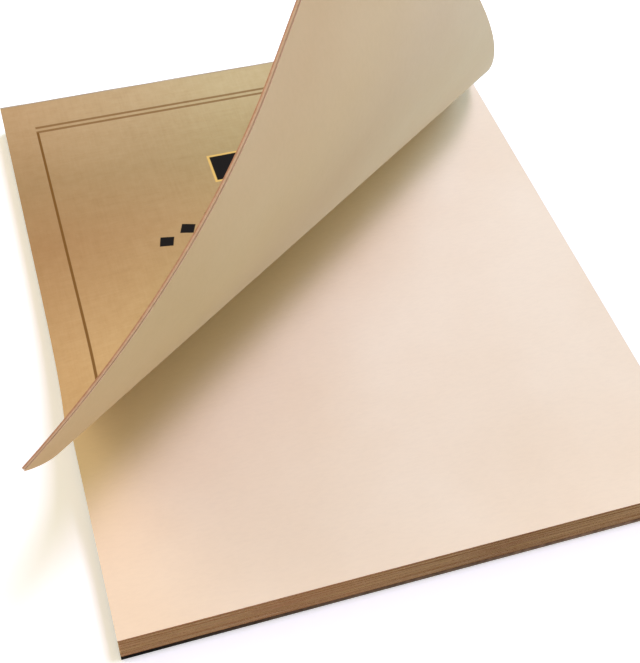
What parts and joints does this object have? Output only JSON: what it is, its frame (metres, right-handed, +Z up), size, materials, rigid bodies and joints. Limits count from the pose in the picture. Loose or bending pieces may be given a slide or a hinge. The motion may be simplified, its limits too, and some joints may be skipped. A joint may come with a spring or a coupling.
{
  "type": "notepad",
  "caption": "Top-glued writing pad with a kraft cover, its cover and first sheet lifted by the foot corner and rolled up over a blank page.",
  "frame": {"origin": "middle of the backing board's underside, where the pad rests on the table", "axes": "+Z up, +Y towards the glued head of the pad, +X to the right as the page is read"},
  "size_m": [0.1091, 0.1274, 0.0953],
  "materials": {
    "kraft_cover": "matt uncoated brown kraft card, fine fibres, thin brown printed lines",
    "writing_paper": "matt uncoated cream writing paper, unlined",
    "backing_board": "dark uncoated board",
    "head_glue": "thin dried padding glue, slightly glossy"
  },
  "bodies": {
    "block": {"backing_board": "backing_board", "block_sheet_01": "writing_paper", "block_sheet_02": "writing_paper", "block_sheet_03": "writing_paper", "block_sheet_04": "writing_paper", "block_sheet_05": "writing_paper", "block_sheet_06": "writing_paper", "block_sheet_07": "writing_paper", "block_sheet_08": "writing_paper", "block_sheet_09": "writing_paper", "block_sheet_10": "writing_paper", "block_sheet_11": "writing_paper", "block_sheet_12": "writing_paper", "block_sheet_13": "writing_paper", "block_sheet_14": "writing_paper", "block_sheet_15": "writing_paper", "block_sheet_16": "writing_paper", "block_sheet_17": "writing_paper", "block_sheet_18": "writing_paper", "block_sheet_19": "writing_paper", "block_sheet_20": "writing_paper", "block_sheet_21": "writing_paper", "block_sheet_22": "writing_paper", "block_sheet_23": "writing_paper", "block_sheet_24": "writing_paper", "block_sheet_25": "writing_paper", "block_sheet_26": "writing_paper", "block_sheet_27": "writing_paper", "block_sheet_28": "writing_paper", "block_sheet_29": "writing_paper", "block_sheet_30": "writing_paper", "block_sheet_31": "writing_paper", "block_sheet_32": "writing_paper", "block_sheet_33": "writing_paper", "block_sheet_34": "writing_paper", "block_sheet_35": "writing_paper", "block_sheet_36": "writing_paper", "block_sheet_37": "writing_paper", "block_sheet_38": "writing_paper", "block_sheet_39": "writing_paper", "block_sheet_40": "writing_paper", "block_sheet_41": "writing_paper", "block_sheet_42": "writing_paper", "block_sheet_43": "writing_paper", "block_sheet_44": "writing_paper", "block_sheet_45": "writing_paper", "block_sheet_46": "writing_paper", "block_sheet_47": "writing_paper", "block_sheet_48": "writing_paper", "block_glue": "head_glue"},
    "page": {"open_page": "writing_paper", "page_glue": "head_glue"},
    "sheet": {"turned_sheet": "writing_paper", "sheet_glue": "head_glue"},
    "cover": {"front_cover": "kraft_cover", "cover_glue": "head_glue"}
  },
  "joints": [
    {"name": "page_hinge", "type": "hinge", "parent": "block", "child": "page", "pos_m": [0, 0.06392, 0.00654], "axis": [-1, 0, 0], "range_deg": [0, 30]},
    {"name": "sheet_hinge", "type": "hinge", "parent": "page", "child": "sheet", "pos_m": [0, 0.06392, 0.00666], "axis": [-1, 0, 0], "range_deg": [0, 43]},
    {"name": "cover_hinge", "type": "hinge", "parent": "sheet", "child": "cover", "pos_m": [0, 0.06392, 0.00677], "axis": [-1, 0, 0], "range_deg": [0, 50]}
  ]
}
